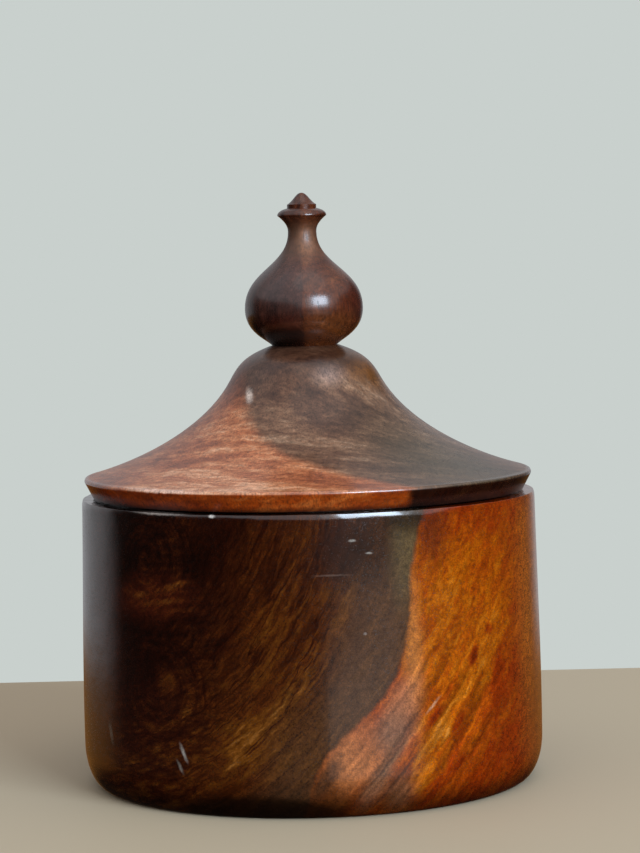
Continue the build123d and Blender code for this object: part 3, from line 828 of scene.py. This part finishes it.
is_heart = add(tree, "ShaderNodeMapRange", {
    "Value": add(tree, "ShaderNodeVectorMath", {0: in_column}, operation="LENGTH").outputs["Value"],
    "From Min": 0.95, "From Max": 1.05, "To Min": 1.0, "To Max": 0.0}, interpolation_type="SMOOTHSTEP")
colour = add(tree, "ShaderNodeMix", {"Factor": is_heart, "A": pink, "B": tinted}, data_type="RGBA")
print("top of the lid:", len(tree.nodes), "nodes")

# %% [markdown]
# The bevel cuts deeper into the block than the top does. It is orange brown as far as x = 24 mm,
# and nearly black to the right of that. It darkens where it meets the underside: grime, and painted
# shade of the seam with the rim.

# %% Lid: the bevel
true_z = add(tree, "ShaderNodeSeparateXYZ", {0: place}).outputs["Z"]
is_black = add(tree, "ShaderNodeMapRange", {
    "Value": add(tree, "ShaderNodeSeparateXYZ", {0: loose}).outputs["X"],
    "From Min": 22.6, "From Max": 25.6, "To Min": 0.0, "To Max": 0.96}, interpolation_type="SMOOTHSTEP")
bevel = add(tree, "ShaderNodeMix", {
    "Factor": is_black, "A": orange, "B": linear("#0e0302")}, data_type="RGBA")
is_bevel = add(tree, "ShaderNodeMapRange", {
    "Value": true_z, "From Min": 79.5, "From Max": 79.9, "To Min": 1.0, "To Max": 0.0,
}, interpolation_type="SMOOTHSTEP")
colour = add(tree, "ShaderNodeMix", {"Factor": is_bevel, "A": colour, "B": bevel}, data_type="RGBA")
# Darker towards the underside: grime, and painted shade of the seam with the rim.
grime_and_painted_shade = add(tree, "ShaderNodeMapRange", {
    "Value": true_z, "From Min": 75.2, "From Max": 76.8, "To Min": 0.25, "To Max": 1.0,
}, interpolation_type="SMOOTHSTEP").outputs["Result"]
colour = add(tree, "ShaderNodeVectorMath", {0: colour, "Scale": grime_and_painted_shade}, operation="SCALE")
print("top and bevel:", len(tree.nodes), "nodes")

# %% [markdown]
# A few marks of use lie on top, and two painted highlights: a pale stretch along the lip, and a pale
# patch on the shoulder that is a painted reflection of the lamp overhead. Hands and the cloth polish
# the thin lip more than the rest, so the film of wax is thickest there. The hollow inside was never
# waxed: it lies within a dome.

# %% Lid: marks of use, painted highlights and wax
LID_MARKS_AND_PAINTED_HIGHLIGHTS = [
    ("#46322a", (-15, -8, 109), (8, 14, 7), (0, 0, 0), 0.6, 0.8),  # greyer on the shoulder
    ("#241008", (8, -12, 110.3), (7, 10, 2.6), (0, 0, 0), 0.65, 0.8),
    ("#a48a80", (6.0, -17, 106.3), (3.4, 7, 2.2), (0, 0, 0), 0.3, 0.9),  # a painted reflection of the lamp overhead
    ("#dcb4a0", (-36, -45, 80.1), (9, 12, 0.4), (0, 0, 0), 0.7, 0.6),  # a painted highlight along the lip
    ("#c4b0a2", (-14.5, -18, 101.5), (0.8, 30, 1.5), (0, 0, 0), 0.85, 0.8),  # a pale fleck
]
LIP_Z = 79.9  # mm
HOLLOW_DOME = (1.0, (0, 0, 70), (50, 50, 25), (0, 0, 0), 1.0, 0.01)

colour = patches(tree, warp(tree, place, 1.5, 0.5), colour, LID_MARKS_AND_PAINTED_HIGHLIGHTS)
never_waxed = patches(tree, place, 0.0, [HOLLOW_DOME])
from_lip = add(tree, "ShaderNodeMath", {0: true_z, 1: LIP_Z}, operation="SUBTRACT")
lip_wax = add(tree, "ShaderNodeMapRange", {
    "Value": add(tree, "ShaderNodeMath", {0: from_lip}, operation="ABSOLUTE"),
    "From Min": 0.4, "From Max": 0.8, "To Min": 0.85, "To Max": 0.15}, interpolation_type="SMOOTHSTEP")
waxed(tree, place, colour, (1, 1, 8), lip_wax, 0.27, never_waxed)
print(lid_wood.name, len(tree.nodes), "nodes")

# %% [markdown]
# ## The lid
# An ogee: a convex shoulder under the finial that turns into a long concave flare, a thin rounded
# lip, and a bevel cut back under it. Below are the spigot that drops into the rebate, the hollow,
# and the socket for the finial's tenon.

# %% Lid
LAND_Z, UNDERSIDE_Z = 113.5, 75.3
LIP_CENTRE, LIP_ROUND = (57.45, 79.6), 0.85
TURN, LAND_EDGE = (19.8, 104.6), (8.9, LAND_Z)  # where the flare meets the shoulder, and its top edge
BEVEL, LIP_FALL, TURN_FALL, LAND_FALL = 28, 14.3, 61, 19.7  # degrees
SPIGOT_RADIUS, SPIGOT_END, SPIGOT_ROUND = 52.7, 69.8, 0.6
HOLLOW_RADIUS, HOLLOW_SIDE_Z, HOLLOW_TOP_Z = 46.0, 73.0, 91.5
SOCKET_RADIUS, SOCKET_END = 4.6, 98.5

lip_top = along(LIP_CENTRE, 90 - LIP_FALL, LIP_ROUND)
lip_bottom = along(LIP_CENTRE, -BEVEL, LIP_ROUND)
bevel_foot = (lip_bottom[0] - (lip_bottom[1] - UNDERSIDE_Z) * tan(radians(BEVEL)), UNDERSIDE_Z)
lid_section = half_section("lid_section", (0, HOLLOW_TOP_Z), [
    ((HOLLOW_RADIUS, HOLLOW_SIDE_Z), 0, -90, (0.29, 0.13)),
    (HOLLOW_RADIUS, SPIGOT_END + SPIGOT_ROUND),
    ((HOLLOW_RADIUS + SPIGOT_ROUND, SPIGOT_END), -90, 0, round_pulls()),
    (SPIGOT_RADIUS - SPIGOT_ROUND, SPIGOT_END),
    ((SPIGOT_RADIUS, SPIGOT_END + SPIGOT_ROUND), 0, 90, round_pulls()),
    (SPIGOT_RADIUS, UNDERSIDE_Z),
    bevel_foot,
    lip_bottom,
    (lip_top, 90 - BEVEL, 180 - LIP_FALL, round_pulls(90 + BEVEL - LIP_FALL)),
    (TURN, 180 - LIP_FALL, 180 - TURN_FALL, (0.21, 0.36)),
    (LAND_EDGE, 180 - TURN_FALL, 180 - LAND_FALL, (0.34, 0.53)),
    (SOCKET_RADIUS, LAND_Z),
    (SOCKET_RADIUS, SOCKET_END),
    (0, SOCKET_END),
])
lid = turn_piece("turned_lid", lid_section, lid_wood, 360, LIP_CENTRE[1], 2.0, 0.10, 7)
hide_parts("lid")
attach(lid, "lid")

# %% [markdown]
# ## The wood of the finial
# A stick with its fibre upright. A dark layer meets a browner one at a plane just left of the
# middle, and turns browner itself towards the neck. Both have the same two layers of streaks, with
# a ramp for each, and a few patches tint them.

# %% Finial wood: two layers
DARK_RAMP = [(0, "#120402"), (0.4, "#250c06"), (0.6, "#3c1c13"), (1, "#5e3020")]
BROWN_RAMP = [(0, "#240b05"), (0.35, "#401a0b"), (0.6, "#5a2c14"), (1, "#845028")]
finial_wood, tree = new_material("waxed_cocobolo_finial")
place = millimetres(tree)
loose = warp(tree, warp(tree, place, 14, 0.8), 3, 0.3)
rings = find_rings(tree, loose, (-30, 25, 120), (-90, 0, 0), 40)
tone = swing(tree, streaks(tree, rings, 2.0, 10, 20, 4.0), streaks(tree, rings, 0.7, 3, 10), 0.7)
dark, brown = [
    add(tree, "ShaderNodeValToRGB", {"Fac": tone}, stops=[(t, linear(c)) for t, c in ramp])
    for ramp in (DARK_RAMP, BROWN_RAMP)]
across, _, up = add(tree, "ShaderNodeSeparateXYZ", {0: loose}).outputs
is_right = add(tree, "ShaderNodeMapRange", {
    "Value": across, "From Min": -0.7, "From Max": 0.1, "To Min": 0.0, "To Max": 1.0,
}, interpolation_type="SMOOTHSTEP")
browner = add(tree, "ShaderNodeMapRange", {
    "Value": up, "From Min": 119.0, "From Max": 132.0, "To Min": 0.0, "To Max": 0.3,
}, interpolation_type="SMOOTHSTEP")
dark = add(tree, "ShaderNodeMix", {"Factor": browner, "A": dark, "B": brown}, data_type="RGBA")
colour = add(tree, "ShaderNodeMix", {"Factor": is_right, "A": dark, "B": brown}, data_type="RGBA")
print("two layers:", len(tree.nodes), "nodes")

# %% [markdown]
# The finial is handled whenever the box is opened, so its wax is thinner and duller than the rim's.
# The neck is too slim to polish well. Two tints are painted light: a grey painted sheen over the
# bulb's shoulder, and a pale painted highlight on the neck.

# %% Finial wood: tints, painted light and wax
FINIAL_TINTS_AND_PAINTED_LIGHT = [
    ("#38130c", (14, -6, 124), (5, 12, 7), (0, 0, 0), 0.8, 0.6),  # redder at the right of the bulb
    ("#5c3010", (7, -12, 118.5), (7, 12, 4), (0, 0, 0), 0.4, 0.6),
    ("#4a3a38", (-6, -10, 129), (10, 12, 6), (0, 0, 0), 0.4, 0.9),  # a painted sheen, greyer on its shoulder
    ("#120402", (-7.4, -10, 116), (7.4, 14, 3.6), (0, 0, 0), 0.9, 0.35),  # dark by its foot
    ("#9c6644", (0.9, -4, 140.6), (2.3, 5, 3.4), (0, 0, 0), 0.32, 0.6),  # a painted highlight on the neck
    ("#3c1208", (-5, -12, 119.8), (4, 12, 1.8), (0, 0, 0), 0.5, 0.8),
]
DULL_NECK = (0.6, (0, 0, 141), (20, 20, 4.5), (0, 0, 0), 1.0, 0.6)

colour = patches(tree, loose, colour, FINIAL_TINTS_AND_PAINTED_LIGHT)
dull_neck = patches(tree, place, 0.0, [DULL_NECK])
waxed(tree, place, colour, (1, 1, 8), 0.32, 0.24, dull_neck, 0.13)
print(finial_wood.name, len(tree.nodes), "nodes")

# %% [markdown]
# ## The finial
# A bulb, a waisted neck, a thin collar and a stepped button, turned on a tenon in one go.

# %% Finial
TENON_RADIUS, TENON_END, FOOT_RADIUS = 4.5, 99.5, 8.4
BULB, NECK, COLLAR, COLLAR_EDGE = (15.4, 123.1), (3.7, 143.0), (6.4, 147.2), 0.3
BUTTON_RADIUS, STEP_Z, STEP_RISE, TIP_Z = 3.8, 149.15, 0.95, 153.15

finial_section = half_section("finial_section", (0, TENON_END), [
    (TENON_RADIUS, TENON_END),
    (TENON_RADIUS, LAND_Z),
    (FOOT_RADIUS, LAND_Z),
    (BULB, 50, 90, (0.18, 0.52)),
    (NECK, 90, 90, (0.44, 0.38)),
    (COLLAR, 90, 37, (0.22, 0.6)),
    (COLLAR[0], COLLAR[1] + COLLAR_EDGE),
    ((BUTTON_RADIUS, STEP_Z), 180 - 70, 180 - 15, (0.35, 0.35)),
    (BUTTON_RADIUS, STEP_Z + STEP_RISE),
    ((0, TIP_Z), 180 - 30, 180, (0.43, 0.3)),
])
finial = turn_piece("turned_finial", finial_section, finial_wood, 180, COLLAR[1], 1.5, 0.12, 11)
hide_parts("finial")
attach(finial, "lid")

# %% [markdown]
# ## The floor
# A plain pale board, flat and matt. It stays out of the reflections, because the polish should
# mirror the shelf that belongs to the room, further down, and not this small board.

# %% Floor
FLOOR_CORNERS = [(-1.2, -1.0, 0), (1.2, -1.0, 0), (1.2, 0.17, 0), (-1.2, 0.17, 0)]

board = bpy.data.meshes.new("floor")
board.from_pydata(FLOOR_CORNERS, [], [(0, 1, 2, 3)])
floor = bpy.data.objects.new("floor", board)
bpy.context.scene.collection.objects.link(floor)
floor_finish, tree = new_material("pale_matt_board")
shader = add(tree, "ShaderNodeBsdfPrincipled", {"Base Color": linear("#b5a489"), "Roughness": 0.7})
add(tree, "ShaderNodeOutputMaterial", {"Surface": shader})
board.materials.append(floor_finish)
floor.visible_glossy = False
print(f"floor {floor.dimensions.x:.1f} x {floor.dimensions.y:.2f} m")

# %% [markdown]
# ## The lamps
# The waxed wood shows its shape by what it mirrors, so each lamp is a soft area that the polish can
# mirror. A cool window stands to the right of the camera, and a wide pale curtain round it softens
# its edge. A weak round lamp overhead, also to the right, fills in the top of the lid.

# %% Lamps
AIM = Vector((0, 0, 0.08))


def lamp(name, azimuth, elevation, distance, width, height, power, colour, shape="RECTANGLE"):
    """A soft area light that looks at the box. Azimuth is in degrees to the right of straight ahead."""
    light = bpy.data.lights.new(name, "AREA")
    light.shape, light.size, light.size_y = shape, width, height
    light.energy, light.color = power, linear(colour)[:3]
    shine = bpy.data.objects.new(name, light)
    a, e = radians(azimuth), radians(elevation)
    back = Vector((sin(a) * cos(e), -cos(a) * cos(e), sin(e)))
    facing = back.to_track_quat("Z", "Y").to_matrix().to_4x4()
    shine.matrix_world = Matrix.Translation(AIM + back * distance) @ facing
    bpy.context.scene.collection.objects.link(shine)
    print(f"{name}: {power} W, {width} x {height} m, {distance} m away")


lamp("window", 33, 21, 1.8, 0.92, 0.72, 36, "#d2e9ff")
lamp("curtain", 28, 18, 1.9, 1.5, 0.9, 3.7, "#f6f0e8")
lamp("overhead", 30, 70, 1.5, 1.30, 1.30, 2.4, "#fffaf2", "ELLIPSE")

# %% [markdown]
# ## The room
# The rest of the light is the world: a dim room with a pale wall behind the box, a shelf below eye
# level, and a table in the window's light in front of it. Walls of real geometry would do as well,
# but a few smooth steps of the direction are quicker to place. In the world the Generated
# coordinates are the direction of the ray, so z is how steeply it rises and y how far it goes back.
# Each row of the table is a step: what is read, where it starts and ends, and its two levels.

# %% Room: smooth steps of the direction
world = bpy.data.worlds.new("pale_room")
bpy.context.scene.world = world
world.use_nodes = True
tree = world.node_tree
tree.nodes.clear()
direction = add(tree, "ShaderNodeTexCoord").outputs["Generated"]
x, y, z = add(tree, "ShaderNodeSeparateXYZ", {0: direction}).outputs
ahead = add(tree, "ShaderNodeMath", {0: y, 1: -1.0}, operation="MULTIPLY")
azimuth = add(tree, "ShaderNodeMath", {0: x, 1: ahead}, operation="ARCTAN2")

step = {}
for name, read, start, end, low, high in [
    ("behind", y, 0.30, 0.62, 0.0, 1.0),
    ("not_right", x, 0.25, 0.62, 1.0, 0.03),
    ("wall_height", z, 0.1, 0.6, 0.49, 0.68),
    ("left_rise", x, -0.7, 0.0, 0.22, 0.0),
    ("right_rise", azimuth, radians(60), radians(85), 0.0, 0.34),
    ("above_front", y, 0.05, 0.5, 1.0, 0.48),
    ("shelf", z, -0.152, -0.120, 1.0, 0.0),
    ("table_from", azimuth, radians(6), radians(8.5), 0.0, 1.0),
    ("table_to", azimuth, radians(49), radians(58), 1.0, 0.0),
    ("table_top", z, -0.130, -0.110, 1.0, 0.0),
    ("under", z, -0.35, -0.2, 1.0, 0.0),
]:
    step[name] = add(tree, "ShaderNodeMapRange", {
        "Value": read, "From Min": start, "From Max": end, "To Min": low, "To Max": high,
    }, interpolation_type="SMOOTHSTEP").outputs["Result"]
print(len(step), "steps")

# %% [markdown]
# Above the horizon everything is pale, but a dark cupboard stands on the right and lower things
# stand on the left. Below it come the shelf, the table and, straight down, darkness.
# The camera itself sees none of this, only a plain pale wall. Only reflections and light read the
# room.

# %% Room: put together
DIM, PALE, SHELF, TABLE, DARKNESS, PLAIN_WALL = [
    linear(code) for code in ("#282422", "#dfe0e4", "#7a5228", "#bcc0c2", "#1c1612", "#c9d0cd")]

rise = add(tree, "ShaderNodeMath", {0: step["left_rise"], 1: step["right_rise"]}, operation="ADD")
over = add(tree, "ShaderNodeMath", {0: z, 1: rise}, operation="SUBTRACT")
above = add(tree, "ShaderNodeMapRange", {
    "Value": over, "From Min": 0.03, "From Max": 0.14, "To Min": 0.0, "To Max": 1.0,
}, interpolation_type="SMOOTHSTEP")
above = add(tree, "ShaderNodeMath", {0: above, 1: step["above_front"]}, operation="MULTIPLY")
wall = add(tree, "ShaderNodeMath", {0: step["behind"], 1: step["not_right"]}, operation="MULTIPLY")
wall_level = add(tree, "ShaderNodeMath", {0: wall, 1: step["wall_height"]}, operation="MULTIPLY")
pale = add(tree, "ShaderNodeMath", {0: wall_level, 1: above}, operation="MAXIMUM")
room = add(tree, "ShaderNodeMix", {"Factor": pale, "A": DIM, "B": PALE}, data_type="RGBA")

ground = add(tree, "ShaderNodeMix", {"Factor": wall, "A": DIM, "B": SHELF}, data_type="RGBA")
room = add(tree, "ShaderNodeMix", {"Factor": step["shelf"], "A": room, "B": ground}, data_type="RGBA")
table = add(tree, "ShaderNodeMath", {0: step["table_from"], 1: step["table_to"]}, operation="MULTIPLY")
table = add(tree, "ShaderNodeMath", {0: table, 1: step["table_top"]}, operation="MULTIPLY")
room = add(tree, "ShaderNodeMix", {"Factor": table, "A": room, "B": TABLE}, data_type="RGBA")
room = add(tree, "ShaderNodeMix", {"Factor": step["under"], "A": room, "B": DARKNESS}, data_type="RGBA")
lit = add(tree, "ShaderNodeBackground", {"Color": room, "Strength": 1.0})
seen = add(tree, "ShaderNodeBackground", {"Color": PLAIN_WALL, "Strength": 1.0})
to_camera = add(tree, "ShaderNodeLightPath").outputs["Is Camera Ray"]
mixed = add(tree, "ShaderNodeMixShader", {0: to_camera, 1: lit, 2: seen})
add(tree, "ShaderNodeOutputWorld", {"Surface": mixed})
print("room:", len(tree.nodes), "nodes")

bpy.context.scene.view_settings.view_transform = "Standard"
